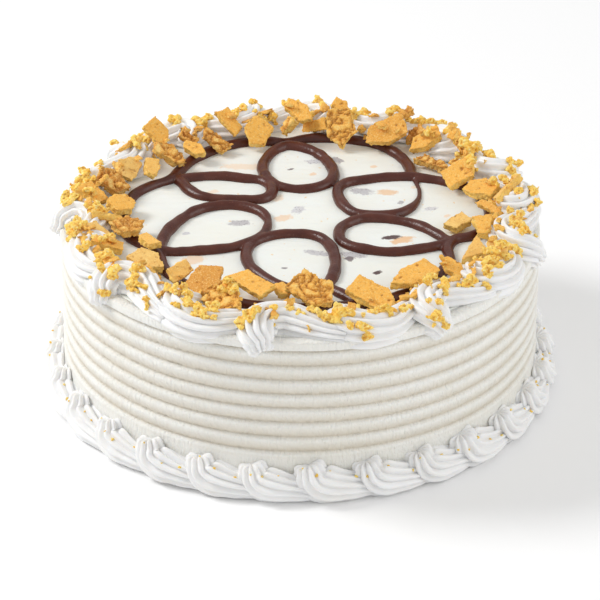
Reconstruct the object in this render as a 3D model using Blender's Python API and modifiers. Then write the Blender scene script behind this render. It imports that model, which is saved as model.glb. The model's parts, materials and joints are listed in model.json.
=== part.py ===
"""A ten-inch ice cream cake, built in the order it is made.

A round of ice cream gets a coat of combed icing, a flower of fudge on top, a border of piped
shells round its foot and a swagged border round its top edge, which broken cookies and cookie
crumbs are pressed into. Metres, +Z up. The origin is the middle of the underside, the front of
the cake looks along -Y, and angles are degrees round it from the front, growing towards +X.
"""

import math
import random

import bmesh
import bpy
from mathutils import Matrix, Vector
from mathutils.bvhtree import BVHTree

MM = 0.001
GAP = 0.3 * MM  # kept between pieces that touch

# The round of ice cream and its coat
CAKE_RADIUS = 127 * MM
CAKE_HEIGHT = 90.5 * MM
COAT_THICKNESS = 6 * MM
COAT_FOOT = 0.5 * MM
ROUND_STEPS = 48

# The comb's grooves: sharp lines with rounded ridges between them
GROOVES = 8
GROOVE_PITCH = 8.35 * MM
LOWEST_GROOVE = 26 * MM
GROOVE_DEPTH = 1.3 * MM
RIDGE_STEPS = (0.22, 0.78)
TOP_EDGE_DROP = 1.5 * MM
PLAIN_BAND_DROP = 2.5 * MM

# The star nozzle's mark on the icing: ridges over the arc that shows, from one angle to another
# of a section of unit radius, and plain corners where the icing lies against the cake
STAR_VALLEY = 0.77
STRAIGHT = 0.01  # radians below which a route counts as straight
BEND_ROOM = 0.65  # share of a bend's radius that the icing may fill on its inner side
END_BULGE = 0.25  # how far an end bulges, as a share of its radius
RIM_RIDGES = 5
RIM_ARC = (-30, 210)
FOOT_RIDGES = 5
FOOT_ARC = (-55, 125)
FOOT_CORNERS = ((-0.75, -1.4), (0.3, -1.4))

# The swagged top border. Each pair is an arch that starts outside and bulges in, and a swag that
# starts inside and bulges out. Stations run along the icing, in millimetres: along the rim from
# the middle of the bulge, from the cake's axis, above the cake's top, and the rope's radius.
RIM_RADIUS = 114
PAIR_LENGTH = 80
ARCH_ANGLES = (-50, -6, 37, 78, 118, 158, 197, 236, 273)
ROPE_RISE = 0.5
ARCH = (
    (0, 124.5, -3, 8),
    (-5.5, 122, -1, 11),
    (-7.5, 116, 0.8, 11.8),
    (-3.5, 111, 1.4, 11.4),
    (4, 109.5, 1.6, 10.6),
    (11, 112, 1.4, 9.8),
    (18, 116, 1, 8.6),
    (24.5, 119.5, 0.5, 7.2),
    (31, 122, 0, 5.6),
)
SWAG = (
    (-3.5, 107.5, 1.2, 7.6),
    (-7.5, 111, 1.6, 10.4),
    (-7, 116, 1.4, 11.2),
    (-2, 119, 0.6, 10.8),
    (5, 120.5, 0, 10),
    (12, 119.5, 0, 9.2),
    (18.5, 116, 0.5, 8.2),
    (25, 112.5, 1, 7),
    (31, 110, 1.2, 5.6),
)

# The shell border round the foot, with the same four values from the shell's middle
SHELLS = 28
FIRST_SHELL_ANGLE = 6.6
SHELL_ANGLE_SHIFT = 0.5
SHELL_SIZES = (0.96, 1.03)
SHELL = (
    (-13, 128, 13, 8.5),
    (-7, 128.4, 11.6, 11.8),
    (2.5, 129, 9, 10.6),
    (12, 129.4, 6.4, 8.2),
    (21, 129.4, 4.4, 5.6),
)

# The fudge: one line of this section, in millimetres, drawn as a wavy ring and six petals.
# A route's points are X and Y in millimetres, with a third value where the line thins.
FUDGE_HALF_WIDTH = 3.4 * MM
FUDGE_SECTION = ((-1, 0), (-0.55, 1.02), (0.55, 1.02), (1, 0))
FUDGE_FLATTENING = 0.012  # by which each line is lower than the last, so that no tops coincide
RING = (
    (8, -93.5), (32, -90), (54, -79), (70, -62), (77.5, -44), (77, -31), (81, -21.5), (91, -17),
    (99, -6), (101, 9), (98, 25), (89, 38.5), (76, 45), (62, 50.5), (59.5, 62), (55, 74),
    (45, 86.5), (28, 94), (8, 96), (-8, 91.5), (-25, 92), (-44, 84.5), (-58, 71), (-66, 56),
    (-70, 47), (-80, 39.5), (-89, 29), (-92.5, 15), (-94, -1), (-90, -17), (-79, -30),
    (-73, -40), (-68, -57), (-51, -77), (-30, -89), (-11, -94),
)
BACK_PETAL = (
    (-5, 86.5), (6.5, 81), (14.5, 70), (18.3, 56), (16.5, 45), (10, 38), (0, 35.3), (-11.5, 39.5),
    (-18, 49), (-20.3, 63), (-17, 76), (-11.5, 84),
)
LEFT_BACK_PETAL = (
    (-64.5, 47), (-51, 50.5), (-40, 50.5), (-31, 48), (-21.5, 46), (-15.7, 39), (-15.7, 30),
    (-20.5, 24), (-32, 23.3), (-43, 24.3), (-53, 27.5), (-59.5, 34.5), (-62.5, 41),
)
LEFT_PETAL = (
    (-72.5, -32), (-72, -21), (-69, -10), (-62, 3), (-54.5, 11.5), (-45.5, 16), (-36, 17),
    (-27, 14.3), (-20, 8.5), (-17, 0, 0.7), (-18, -10, 0.75), (-22.5, -20), (-31.5, -28),
    (-43, -32), (-57, -34.3), (-67, -35.2),
)
FRONT_PETAL = (
    (-11.5, -69.5), (-20, -60), (-25.7, -50), (-28, -37), (-25.7, -27), (-18.5, -19.5),
    (-8.5, -15.3), (3, -15.3), (11.5, -20), (16.5, -30), (18.3, -41.5), (18, -53), (15.5, -65),
    (10, -74), (-1, -75.5),
)
RIGHT_PETAL = (
    (77, -23), (70, -13), (61.5, -5), (50, 0.5), (37, 2.6), (28.5, -0.5), (21.5, -8.5),
    (21, -20), (26, -28), (37, -33), (50, -34.8), (64.5, -31), (73, -27.5),
)
RIGHT_BACK_PETAL = (
    (62, 49.5), (48.5, 49.3), (37, 47), (26, 43.5), (21, 37.5), (20.5, 28.5), (23.5, 17),
    (29.5, 8.5), (40, 5.3), (51.5, 7.3), (59, 14.5, 0.8), (63.3, 24.5, 0.5), (64.3, 34.5, 0.4),
    (63, 43, 0.42),
)
FRONT_TAIL = ((13, -71), (21, -79), (30, -89))
FUDGE_LOOPS = (
    RING, BACK_PETAL, LEFT_BACK_PETAL, LEFT_PETAL, FRONT_PETAL, RIGHT_PETAL, RIGHT_BACK_PETAL,
)

# Cookie crumbs stuck to the top border
CRUMB_LUMPS = 28
CRUMB_RADII = (2.4 * MM, 3.8 * MM)
CRUMB_BELT = (102 * MM, 131 * MM)
CRUMB_SHAPE = (1.25, 0.9, 0.75)
CRUMB_UNEVENNESS = (0.75, 1.15)

# The broken cookies. A row is where the middle of the piece is (angle round the cake, distance
# from the axis and height over the cake's top), its length and width, its number of corners, how
# far its long side is turned in its own plane, the angle that its face looks towards and how far
# it leans that way from level. Lengths are in millimetres and angles in degrees.
COOKIE_THICKNESS = 4 * MM
COOKIES = (
    (5, 91, 7.5, 27, 19, 5, 140, 0, 25),
    (22, 99, 6, 27, 17, 5, 140, 10, 20),
    (38, 93, 5.5, 29, 16, 5, 15, 20, 6),
    (50, 102, 8.5, 13, 10, 6, 105, 30, 25),
    (64, 101, 6.5, 25, 14, 3, 55, 0, 10),
    (62, 114, 11.5, 15, 11, 4, 50, 20, 20),
    (79, 98, 7.5, 17, 10, 4, 95, 0, 12),
    (83, 85, 3, 17, 10, 4, 50, 0, 4),
    (91, 100, 6, 22, 6, 4, 15, -70, 30),
    (97, 111, 12, 24, 8, 4, 155, -110, 42),
    (104, 101, 6, 18, 16, 6, 25, -60, 15),
    (114, 95, 8, 20, 16, 4, 55, -40, 32),
    (123, 108, 13.5, 16, 9, 5, 160, -45, 50),
    (131, 91, 3, 21, 8, 4, 170, -30, 8),
    (138, 102, 9, 20, 11, 5, 60, -30, 35),
    (131, 112, 13.5, 9, 7, 5, 25, -30, 40),
    (144, 108, 7, 13, 9, 5, 55, -20, 35),
    (151, 98, 10, 25, 15, 5, 40, -15, 35),
    (166, 91, 8.5, 23, 17, 5, 100, 0, 45),
    (168, 108, 16.5, 10, 7, 5, 145, 0, 45),
    (149, 114, 14, 11, 7, 4, 50, -20, 20),
    (180, 101, 14.5, 18, 12, 5, 145, 0, 30),
    (184, 91, 7, 14, 7, 4, 75, -70, 60),
    (175, 98, 8, 20, 8, 4, 20, -40, 68),
    (195, 90, 8.5, 16, 13, 5, 50, 10, 45),
    (203, 101, 10.5, 19, 9, 4, 115, 20, 45),
    (210, 94, 6.5, 20, 9, 4, 130, 25, 40),
    (218, 100, 10, 12, 7, 4, 135, 25, 45),
    (219, 91, 3.5, 13, 10, 5, 145, 20, 18),
    (226, 109, 14.5, 16, 12, 5, 110, 30, 45),
    (224, 102, 7, 10, 7, 5, 140, 30, 35),
    (231, 92, 6.5, 22, 10, 5, 125, 40, 28),
    (246, 102, 10.5, 16, 13, 5, 10, 40, 40),
    (241, 91, 5.5, 13, 10, 5, 55, 45, 25),
    (254, 103, 9.5, 20, 15, 5, 120, 50, 35),
    (264, 111, 10.5, 14, 13, 4, 95, 50, 30),
    (267, 95, 6, 16, 14, 6, 170, 60, 20),
    (285, 113, 9.5, 19, 12, 4, 160, 60, 25),
    (276, 103, 8.5, 19, 8, 4, 25, 170, 42),
    (282, 91, 4, 18, 15, 5, 150, 70, 8),
    (292, 106, 7.5, 23, 9, 4, 100, 80, 20),
    (294, 86, 3.2, 13, 8, 4, 70, 60, 6),
    (305, 94, 5.5, 20, 18, 5, 85, 60, 12),
    (318, 92, 6.5, 14, 9, 4, 30, 10, 42),
    (303, 116, 10, 12, 8, 6, 165, -45, 25),
    (328, 92, 3.5, 27, 19, 5, 110, -30, 8),
    (339, 105, 9, 21, 16, 5, 165, -20, 28),
    (343, 86, 6.5, 26, 12, 4, 150, -10, 12),
    (352, 88, 5.5, 11, 8, 5, 110, 0, 10),
)
NUDGE_STEP = 1 * MM
NUDGES_ASIDE = 4
NUDGES_UP = 9

WELD = 0.001 * MM  # joins the caps of a curve to its sides
LEVEL_ANGLE = 3  # faces that meet within this many degrees are merged after a Boolean


def make_material(name, colour, roughness):
    material = bpy.data.materials.new(name)
    material.use_nodes = True
    shader = material.node_tree.nodes["Principled BSDF"]
    shader.inputs["Base Color"].default_value = (*colour, 1)
    shader.inputs["Roughness"].default_value = roughness
    material.diffuse_color = (*colour, 1)
    return material


def around(angle, radius, height):
    turn = math.radians(angle)
    return Vector((radius * math.sin(turn), -radius * math.cos(turn), height))


def add_object(name, mesh, collection):
    obj = bpy.data.objects.new(name, mesh)
    collection.objects.link(obj)
    return obj


def mesh_from(name, bm):
    bmesh.ops.recalc_face_normals(bm, faces=bm.faces)
    mesh = bpy.data.meshes.new(name)
    bm.to_mesh(mesh)
    bm.free()
    return mesh


def finished(obj, name, material, sharp_angle=40):
    """Names a piece, gives it its material and shades its rounded faces smooth."""
    obj.name = name
    obj.data.name = name
    obj.data.materials.clear()
    obj.data.materials.append(material)
    obj.data.shade_smooth()
    obj.data.set_sharp_from_angle(angle=math.radians(sharp_angle))
    return obj


def apply_modifiers(obj):
    bpy.context.view_layer.update()
    graph = bpy.context.evaluated_depsgraph_get()
    mesh = bpy.data.meshes.new_from_object(obj.evaluated_get(graph))
    obj.modifiers.clear()
    obj.data = mesh


def curve_to_mesh(curve_object, collection):
    """The curve as a closed mesh, with the caps of its ends welded on."""
    bpy.context.view_layer.update()
    graph = bpy.context.evaluated_depsgraph_get()
    mesh = bpy.data.meshes.new_from_object(curve_object.evaluated_get(graph))
    bm = bmesh.new()
    bm.from_mesh(mesh)
    bmesh.ops.remove_doubles(bm, verts=bm.verts, dist=WELD)
    bmesh.ops.recalc_face_normals(bm, faces=bm.faces)
    bm.to_mesh(mesh)
    bm.free()
    obj = add_object(curve_object.name, mesh, collection)
    obj.matrix_world = curve_object.matrix_world
    bpy.data.objects.remove(curve_object)
    return obj


def combine(obj, others, operation, solver="EXACT"):
    """One Boolean of the object with a collection of others, which are removed afterwards."""
    group = bpy.data.collections.new("operands")
    for other in others:
        group.objects.link(other)
    modifier = obj.modifiers.new("Combine", "BOOLEAN")
    modifier.operation = operation
    modifier.operand_type = "COLLECTION"
    modifier.collection = group
    modifier.solver = solver
    apply_modifiers(obj)
    for other in others:
        bpy.data.objects.remove(other)
    bpy.data.collections.remove(group)
    return obj


def tidy_body(obj):
    """Keeps the largest skin, without loose scraps and sealed hollows, and merges level faces."""
    bm = bmesh.new()
    bm.from_mesh(obj.data)
    skins, unseen = [], set(bm.faces)
    while unseen:
        skin, reached = [], [unseen.pop()]
        while reached:
            face = reached.pop()
            skin.append(face)
            near = {other for edge in face.edges for other in edge.link_faces} & unseen
            unseen -= near
            reached.extend(near)
        skins.append(skin)
    skins.sort(key=len)
    scraps = [face for skin in skins[:-1] for face in skin]
    bmesh.ops.delete(bm, geom=scraps, context="FACES")
    bmesh.ops.dissolve_limit(
        bm, angle_limit=math.radians(LEVEL_ANGLE), verts=bm.verts, edges=bm.edges
    )
    bm.to_mesh(obj.data)
    bm.free()


def section_curve(name, points):
    """A closed outline of unit radius that a curve carries along its route."""
    data = bpy.data.curves.new(name, "CURVE")
    data.dimensions = "2D"
    spline = data.splines.new("POLY")
    spline.points.add(len(points) - 1)
    for point, (x, y) in zip(spline.points, points):
        point.co = (x, y, 0, 1)
    spline.use_cyclic_u = True
    return bpy.data.objects.new(name, data)


def star_points(ridges, arc, corners=()):
    """Ridges and valleys by turns along the arc, closed through the plain corners."""
    points = []
    for index in range(2 * ridges - 1):
        turn = math.radians(arc[0] + (arc[1] - arc[0]) * index / (2 * ridges - 2))
        size = STAR_VALLEY if index % 2 else 1
        points.append((size * math.cos(turn), size * math.sin(turn)))
    return points + list(corners)


def bends_of(places):
    """For each station the way ahead, the way into the bend and the room on that side."""
    before, after = places[:1] + places[:-1], places[1:] + places[-1:]
    ahead = [(end - start).normalized() for start, end in zip(before, after)]
    turns = [end - start for start, end in zip(ahead[:1] + ahead[:-1], ahead[1:] + ahead[-1:])]
    inwards = [(turn - turn.project(way)).normalized() for turn, way in zip(turns, ahead)]
    spans = [
        (end - start).length / max(from_way.angle(to_way), STRAIGHT)
        for start, end, from_way, to_way in zip(places, places[1:], ahead, ahead[1:])
    ]
    near = [spans[max(index - 2, 0):index + 2] for index in range(len(places))]
    return ahead, inwards, [BEND_ROOM * min(some) for some in near]


def piped(name, section, stations, collection):
    """Icing piped through a section: each station is a place and the icing's radius there.

    It is a grid bent round the route, with a row for each station and one for each end's point.
    Where the route bends sharper than the icing is wide, the inner side is held short of the
    bend's middle, so that the icing doesn't pass through itself.
    """
    places = [place for place, _ in stations]
    ahead, inwards, rooms = bends_of(places)
    columns, last = len(section), len(stations) - 1
    bm = bmesh.new()
    grid = bmesh.ops.create_grid(bm, x_segments=columns, y_segments=last + 2, size=0.5)
    for vertex in grid["verts"]:
        column = round((vertex.co.x + 0.5) * columns) % columns
        row = round((vertex.co.y + 0.5) * (last + 2))
        index = min(max(row - 1, 0), last)
        place, radius = stations[index]
        if row in (0, last + 2):
            bulge = END_BULGE * radius * (1 if row else -1)
            vertex.co = place + ahead[index] * bulge
            continue
        side = ahead[index].cross(Vector((0, 0, 1))).normalized()
        x, y = section[column]
        offset = (side * x + side.cross(ahead[index]) * y) * radius
        reach = offset.dot(inwards[index])
        if reach > 0:
            held = rooms[index] * math.tanh(reach / rooms[index])
            offset += inwards[index] * (held - reach)
        vertex.co = place + offset
    bmesh.ops.remove_doubles(bm, verts=bm.verts, dist=WELD)
    return add_object(name, mesh_from(name, bm), collection)


def build_ice_cream(collection):
    radius = CAKE_RADIUS - COAT_THICKNESS
    bm = bmesh.new()
    bmesh.ops.create_cone(
        bm, cap_ends=True, segments=ROUND_STEPS, radius1=radius, radius2=radius, depth=CAKE_HEIGHT,
        matrix=Matrix.Translation((0, 0, CAKE_HEIGHT / 2)),
    )
    return add_object("ice_cream", mesh_from("ice_cream", bm), collection)


def coat_profile():
    """The coat's section as radius and height: down its combed outside, then up its inside."""
    outer, inner = CAKE_RADIUS, CAKE_RADIUS - COAT_THICKNESS + GAP
    valley = outer - GROOVE_DEPTH
    profile = [(inner, CAKE_HEIGHT), ((outer + valley) / 2, CAKE_HEIGHT)]
    profile.append((outer, CAKE_HEIGHT - TOP_EDGE_DROP))
    for groove in reversed(range(GROOVES)):
        height = LOWEST_GROOVE + groove * GROOVE_PITCH
        profile.append((valley, height))
        if groove > 0:
            for step in RIDGE_STEPS:
                ridge = valley + GROOVE_DEPTH * math.sin(math.pi * step)
                profile.append((ridge, height - step * GROOVE_PITCH))
    profile.append((outer, LOWEST_GROOVE - PLAIN_BAND_DROP))
    profile.append((outer, COAT_FOOT))
    profile.append((inner, COAT_FOOT))
    return profile


def build_coat(collection):
    profile = coat_profile()
    bm = bmesh.new()
    vertices = [bm.verts.new((radius, 0, height)) for radius, height in profile]
    for index, vertex in enumerate(vertices):
        bm.edges.new((vertex, vertices[(index + 1) % len(vertices)]))
    mesh = bpy.data.meshes.new("combed_icing")
    bm.to_mesh(mesh)
    bm.free()
    obj = add_object("combed_icing", mesh, collection)
    screw = obj.modifiers.new("Turn", "SCREW")
    screw.steps = screw.render_steps = ROUND_STEPS
    screw.use_merge_vertices = True
    screw.merge_threshold = WELD
    return obj


def rope_stations(route, angle, length_scale=1.0):
    """Stations of one shell, from millimetres along its border to places round the cake."""
    stations = []
    for along, distance, height, radius in route:
        turn = angle + math.degrees(along * length_scale / RIM_RADIUS)
        place = around(turn, distance * MM, height * MM)
        stations.append((place, radius * MM))
    return stations


def raised(route, rise):
    return [(along, distance, height + rise, radius) for along, distance, height, radius in route]


def build_swags(section, collection):
    """The rope of the top border, as overlapping shells."""
    top = CAKE_HEIGHT / MM
    draw = random.Random("swags")
    ropes = []
    for index, angle in enumerate(ARCH_ANGLES):
        following = ARCH_ANGLES[(index + 1) % len(ARCH_ANGLES)]
        spacing = (following - angle) % 360
        stretch = math.radians(spacing) * RIM_RADIUS / PAIR_LENGTH
        for kind, route, middle in (("arch", ARCH, angle), ("swag", SWAG, angle + spacing / 2)):
            rise = top + draw.uniform(-ROPE_RISE, ROPE_RISE)
            stations = rope_stations(raised(route, rise), middle, stretch)
            ropes.append(piped(f"{kind}_{index}", section, stations, collection))
    return ropes


def build_shell_border(section, collection):
    draw = random.Random("shells")
    shells = []
    for index in range(SHELLS):
        shift = draw.uniform(-SHELL_ANGLE_SHIFT, SHELL_ANGLE_SHIFT)
        angle = FIRST_SHELL_ANGLE + index * 360 / SHELLS + shift
        size = draw.uniform(*SHELL_SIZES)
        route = [(along, distance, height * size, radius * size)
                 for along, distance, height, radius in SHELL]
        stations = rope_stations(route, angle, RIM_RADIUS * MM / CAKE_RADIUS)
        shells.append(piped(f"shell_{index}", section, stations, collection))
    border = combine(shells[0], shells[1:], "UNION", "MANIFOLD")
    room = [
        build_envelope("cake_and_gap", CAKE_RADIUS + GAP, -CAKE_HEIGHT, CAKE_HEIGHT),
        build_envelope("below", 2 * CAKE_RADIUS, -CAKE_HEIGHT, 0),
    ]
    combine(border, room, "DIFFERENCE", "MANIFOLD")
    tidy_body(border)
    return border


def build_envelope(name, radius, bottom, top):
    """A plain cylinder that cuts a piece back from what it rests on."""
    bm = bmesh.new()
    bmesh.ops.create_cone(
        bm, cap_ends=True, segments=ROUND_STEPS, radius1=radius, radius2=radius,
        depth=top - bottom, matrix=Matrix.Translation((0, 0, (top + bottom) / 2)),
    )
    return add_object(name, mesh_from(name, bm), cutters)


def fudge_line(name, route, closed, grow, collection):
    """One line of fudge. grow widens and heightens it, for the room that it is given."""
    half = FUDGE_HALF_WIDTH + grow
    section = section_curve(name + "_section", FUDGE_SECTION)
    data = bpy.data.curves.new(name, "CURVE")
    data.dimensions = "3D"
    data.twist_mode = "Z_UP"
    data.bevel_mode = "OBJECT"
    data.bevel_object = section
    data.use_fill_caps = not closed
    data.resolution_u = 2
    spline = data.splines.new("BEZIER")
    spline.bezier_points.add(len(route) - 1)
    spline.use_cyclic_u = closed
    for point, (x, y, *thin) in zip(spline.bezier_points, route):
        point.co = (x * MM, y * MM, CAKE_HEIGHT + GAP)
        point.handle_left_type = point.handle_right_type = "AUTO"
        point.radius = half * (thin[0] if thin else 1)
    obj = curve_to_mesh(add_object(name, data, collection), collection)
    bpy.data.objects.remove(section)
    return obj


def build_fudge(grow, collection):
    lines = [
        fudge_line(f"fudge_line_{index}", route, True, grow, collection)
        for index, route in enumerate(FUDGE_LOOPS)
    ]
    lines.append(fudge_line("fudge_tail", FRONT_TAIL, False, grow, collection))
    for index, line in enumerate(lines):
        line.scale.z = 1 - FUDGE_FLATTENING * index
        line.location.z = (CAKE_HEIGHT + GAP) * (1 - line.scale.z)
    return combine(lines[0], lines[1:], "UNION", "MANIFOLD")


def cookie_outline(length, width, corners, draw):
    """Corners of a broken piece, placed round its length and width with uneven reach."""
    outline = []
    for corner in range(corners):
        turn = 2 * math.pi * (corner + 0.5 + draw.uniform(-0.16, 0.16)) / corners
        reach = draw.uniform(0.94, 1.06) / max(abs(math.cos(turn)), abs(math.sin(turn))) ** 0.9
        outline.append((reach * math.cos(turn) * length / 2, reach * math.sin(turn) * width / 2))
    return outline


def cookie_mesh(name, row, seed, nudge, grow=0.0):
    """One broken piece in its place. grow makes it larger all round, for the room it is given."""
    angle, distance, height, length, width, corners, spin, facing, lean = row
    draw = random.Random(seed)
    outline = cookie_outline(length * MM + 2 * grow, width * MM + 2 * grow, corners, draw)
    broken = [(draw.uniform(0.88, 1), draw.uniform(0.88, 1)) for _ in outline]
    thickness = COOKIE_THICKNESS + 2 * grow
    bm = bmesh.new()
    upper = bm.faces.new([bm.verts.new((x, y, thickness / 2)) for x, y in outline])
    sides = bmesh.ops.extrude_face_region(bm, geom=[upper])
    lower = [item for item in sides["geom"] if isinstance(item, bmesh.types.BMVert)]
    for vertex, (along, across) in zip(lower, broken):
        vertex.co = (vertex.co.x * along, vertex.co.y * across, -thickness / 2)
    turn, tip = math.radians(facing), math.radians(lean)
    level = Vector((math.cos(turn), math.sin(turn), 0))
    normal = Vector((math.sin(turn) * math.sin(tip), -math.cos(turn) * math.sin(tip), math.cos(tip)))
    frame = Matrix((level, normal.cross(level), normal)).transposed().to_4x4()
    place = around(angle, distance * MM, CAKE_HEIGHT + height * MM) + nudge
    matrix = Matrix.Translation(place) @ frame @ Matrix.Rotation(math.radians(spin), 4, "Z")
    bmesh.ops.transform(bm, matrix=matrix, verts=bm.verts)
    return mesh_from(name, bm)


def tree_of(mesh):
    mesh.calc_loop_triangles()
    triangles = [tuple(triangle.vertices) for triangle in mesh.loop_triangles]
    return BVHTree.FromPolygons([vertex.co for vertex in mesh.vertices], triangles)


def lowest(mesh):
    return min(vertex.co.z for vertex in mesh.vertices)


def nudges():
    """Small moves up and aside, the shortest first."""
    aside = range(-NUDGES_ASIDE, NUDGES_ASIDE + 1)
    moves = [Vector((x, y, z)) for x in aside for y in aside for z in range(NUDGES_UP + 1)]
    return [move * NUDGE_STEP for move in sorted(moves, key=lambda move: move.length)]


def build_cookies(fudge, collection):
    """Lays the broken cookies one by one, each nudged until it clears all that it lies on."""
    cookies, rooms = [], []
    laid = [tree_of(fudge.data)]
    moves = nudges()
    for index, row in enumerate(COOKIES):
        name = f"cookie_piece_{index + 1:02d}"
        for nudge in moves:
            room = cookie_mesh(name, row, index, nudge, GAP)
            tree = tree_of(room)
            clear = lowest(room) > CAKE_HEIGHT and not any(tree.overlap(other) for other in laid)
            if clear:
                break
            bpy.data.meshes.remove(room)
        if not clear:
            raise RuntimeError(f"{name} has no room")
        cookie = add_object(name, cookie_mesh(name, row, index, nudge), collection)
        cookies.append(cookie)
        laid.append(tree_of(cookie.data))
        rooms.append(add_object(name + "_room", room, cutters))
    return cookies, rooms


def build_crumbs(ropes, collection):
    """Lumps of cookie crumb, half sunk in the outer and upper side of the rope."""
    trees = [tree_of(rope.data) for rope in ropes]
    draw = random.Random("crumbs")
    lumps = []
    for index in range(CRUMB_LUMPS):
        angle = (index + draw.uniform(-0.4, 0.4)) * 360 / CRUMB_LUMPS
        distance = draw.uniform(*CRUMB_BELT)
        start = around(angle, distance, 2 * CAKE_HEIGHT)
        hits = [tree.ray_cast(start, Vector((0, 0, -1))) for tree in trees]
        hits = [hit for hit in hits if hit[0] is not None and hit[0].z > CAKE_HEIGHT]
        if not hits:
            continue
        place = max((hit[0] for hit in hits), key=lambda hit: hit.z)
        size = draw.uniform(*CRUMB_RADII)
        bm = bmesh.new()
        bmesh.ops.create_icosphere(bm, subdivisions=1, radius=size)
        for vertex in bm.verts:
            vertex.co *= draw.uniform(*CRUMB_UNEVENNESS)
        turn = Matrix.Rotation(draw.uniform(0, math.tau), 4, "Z")
        shape = Matrix.Diagonal((*CRUMB_SHAPE, 1))
        matrix = Matrix.Translation(place) @ turn @ shape
        bmesh.ops.transform(bm, matrix=matrix, verts=bm.verts)
        lumps.append(add_object(f"crumb_lump_{index}", mesh_from("crumb_lump", bm), collection))
    return lumps


def build_top_border(section, fudge_room, cookie_rooms, collection):
    """The swagged rope with its crumbs, pressed out where fudge and cookies lie in it."""
    ropes = build_swags(section, collection)
    lumps = build_crumbs(ropes, collection)
    border = combine(ropes[0], ropes[1:] + lumps, "UNION", "MANIFOLD")
    envelope = build_envelope("cake_top", CAKE_RADIUS + GAP, 0, CAKE_HEIGHT + GAP)
    combine(border, [envelope, fudge_room, *cookie_rooms], "DIFFERENCE", "MANIFOLD")
    tidy_body(border)
    return border


for old in list(bpy.data.objects):
    bpy.data.objects.remove(old)

cake = bpy.data.collections.new("ice_cream_cake")
cutters = bpy.data.collections.new("cutters")
bpy.context.scene.collection.children.link(cake)
bpy.context.scene.collection.children.link(cutters)
cutters.hide_render = True

ice_cream_white = make_material("ice_cream", (0.92, 0.90, 0.82), 0.5)
icing_white = make_material("whipped_icing", (0.90, 0.89, 0.86), 0.55)
fudge_brown = make_material("fudge", (0.055, 0.022, 0.015), 0.35)
cookie_gold = make_material("golden_cookie", (0.62, 0.34, 0.12), 0.75)

rim_star = star_points(RIM_RIDGES, RIM_ARC)
foot_star = star_points(FOOT_RIDGES, FOOT_ARC, FOOT_CORNERS)
finished(build_ice_cream(cake), "ice_cream", ice_cream_white)
finished(build_coat(cake), "combed_icing", icing_white)
finished(build_shell_border(foot_star, cake), "foot_border", icing_white)
fudge_lines = finished(build_fudge(0, cake), "fudge_flower", fudge_brown)
fudge_clearance = build_fudge(GAP, cutters)
cookie_pieces, clearances = build_cookies(fudge_lines, cake)
for piece in cookie_pieces:
    finished(piece, piece.name, cookie_gold, 30)
finished(build_top_border(rim_star, fudge_clearance, clearances, cake), "top_border", icing_white)
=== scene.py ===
"""Dresses an ice cream cake: the vanilla round with its fruit and chocolate, the combed icing on
its side, the piped borders, the fudge flower, the broken cookies and their crumbs.

It is laid out as a Blender add-on and run as a script. Metres, +Z up. The front of the cake looks
along -Y, and angles are degrees round it from the front, growing towards +X.
"""

import json
import math
import random

import bmesh
import bpy
import numpy as np
from mathutils import Matrix, Vector, noise
from mathutils.bvhtree import BVHTree

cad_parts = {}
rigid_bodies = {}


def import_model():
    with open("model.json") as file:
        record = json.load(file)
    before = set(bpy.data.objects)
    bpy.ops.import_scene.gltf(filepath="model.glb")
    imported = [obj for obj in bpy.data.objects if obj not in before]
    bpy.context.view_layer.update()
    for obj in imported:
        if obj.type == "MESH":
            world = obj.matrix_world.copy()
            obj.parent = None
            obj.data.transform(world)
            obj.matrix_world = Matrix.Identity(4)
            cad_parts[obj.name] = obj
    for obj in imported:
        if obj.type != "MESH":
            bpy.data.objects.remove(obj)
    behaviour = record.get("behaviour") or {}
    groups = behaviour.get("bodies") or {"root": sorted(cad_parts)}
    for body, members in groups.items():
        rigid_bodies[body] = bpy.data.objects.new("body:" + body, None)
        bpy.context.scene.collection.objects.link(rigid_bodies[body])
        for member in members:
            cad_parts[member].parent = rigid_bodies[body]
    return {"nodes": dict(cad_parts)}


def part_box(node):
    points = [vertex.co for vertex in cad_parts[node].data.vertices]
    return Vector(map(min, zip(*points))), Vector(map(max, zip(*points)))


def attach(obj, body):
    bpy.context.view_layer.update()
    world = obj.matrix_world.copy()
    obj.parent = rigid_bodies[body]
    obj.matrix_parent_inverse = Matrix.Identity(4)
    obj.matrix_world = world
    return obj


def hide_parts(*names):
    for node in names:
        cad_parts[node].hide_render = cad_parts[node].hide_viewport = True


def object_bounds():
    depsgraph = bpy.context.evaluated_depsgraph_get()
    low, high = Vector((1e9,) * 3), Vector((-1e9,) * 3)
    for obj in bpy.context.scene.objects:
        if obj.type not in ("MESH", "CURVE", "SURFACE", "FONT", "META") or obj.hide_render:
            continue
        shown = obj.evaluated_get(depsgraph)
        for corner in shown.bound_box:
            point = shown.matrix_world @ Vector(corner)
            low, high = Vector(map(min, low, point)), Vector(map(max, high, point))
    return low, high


bl_info = {
    "name": "Ice Cream Cake",
    "version": (1, 0, 0),
    "blender": (4, 5, 0),
    "location": "View3D > Sidebar > Cake",
    "description": "Icing, fudge, cookies and crumbs for an ice cream cake",
    "category": "Object",
}

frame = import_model()
BUILT_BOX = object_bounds()

MM = 0.001
TAU = math.tau
WELD = 0.002 * MM

# Read from the frame
CAKE_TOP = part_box("ice_cream")[1].z
CREAM_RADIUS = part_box("ice_cream")[1].x
COAT_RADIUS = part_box("combed_icing")[1].x
COAT_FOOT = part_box("combed_icing")[0].z
COOKIE_NODES = sorted(name for name in frame["nodes"] if name.startswith("cookie_piece_"))

# The camera, as far off and as high as the photograph was taken from
CAMERA_ELEVATION = 29.5
CAMERA_DISTANCE = 1.85
CAMERA_TARGET = 0.043
CAMERA_LENS = 207
CAMERA_SENSOR = 36

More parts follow.
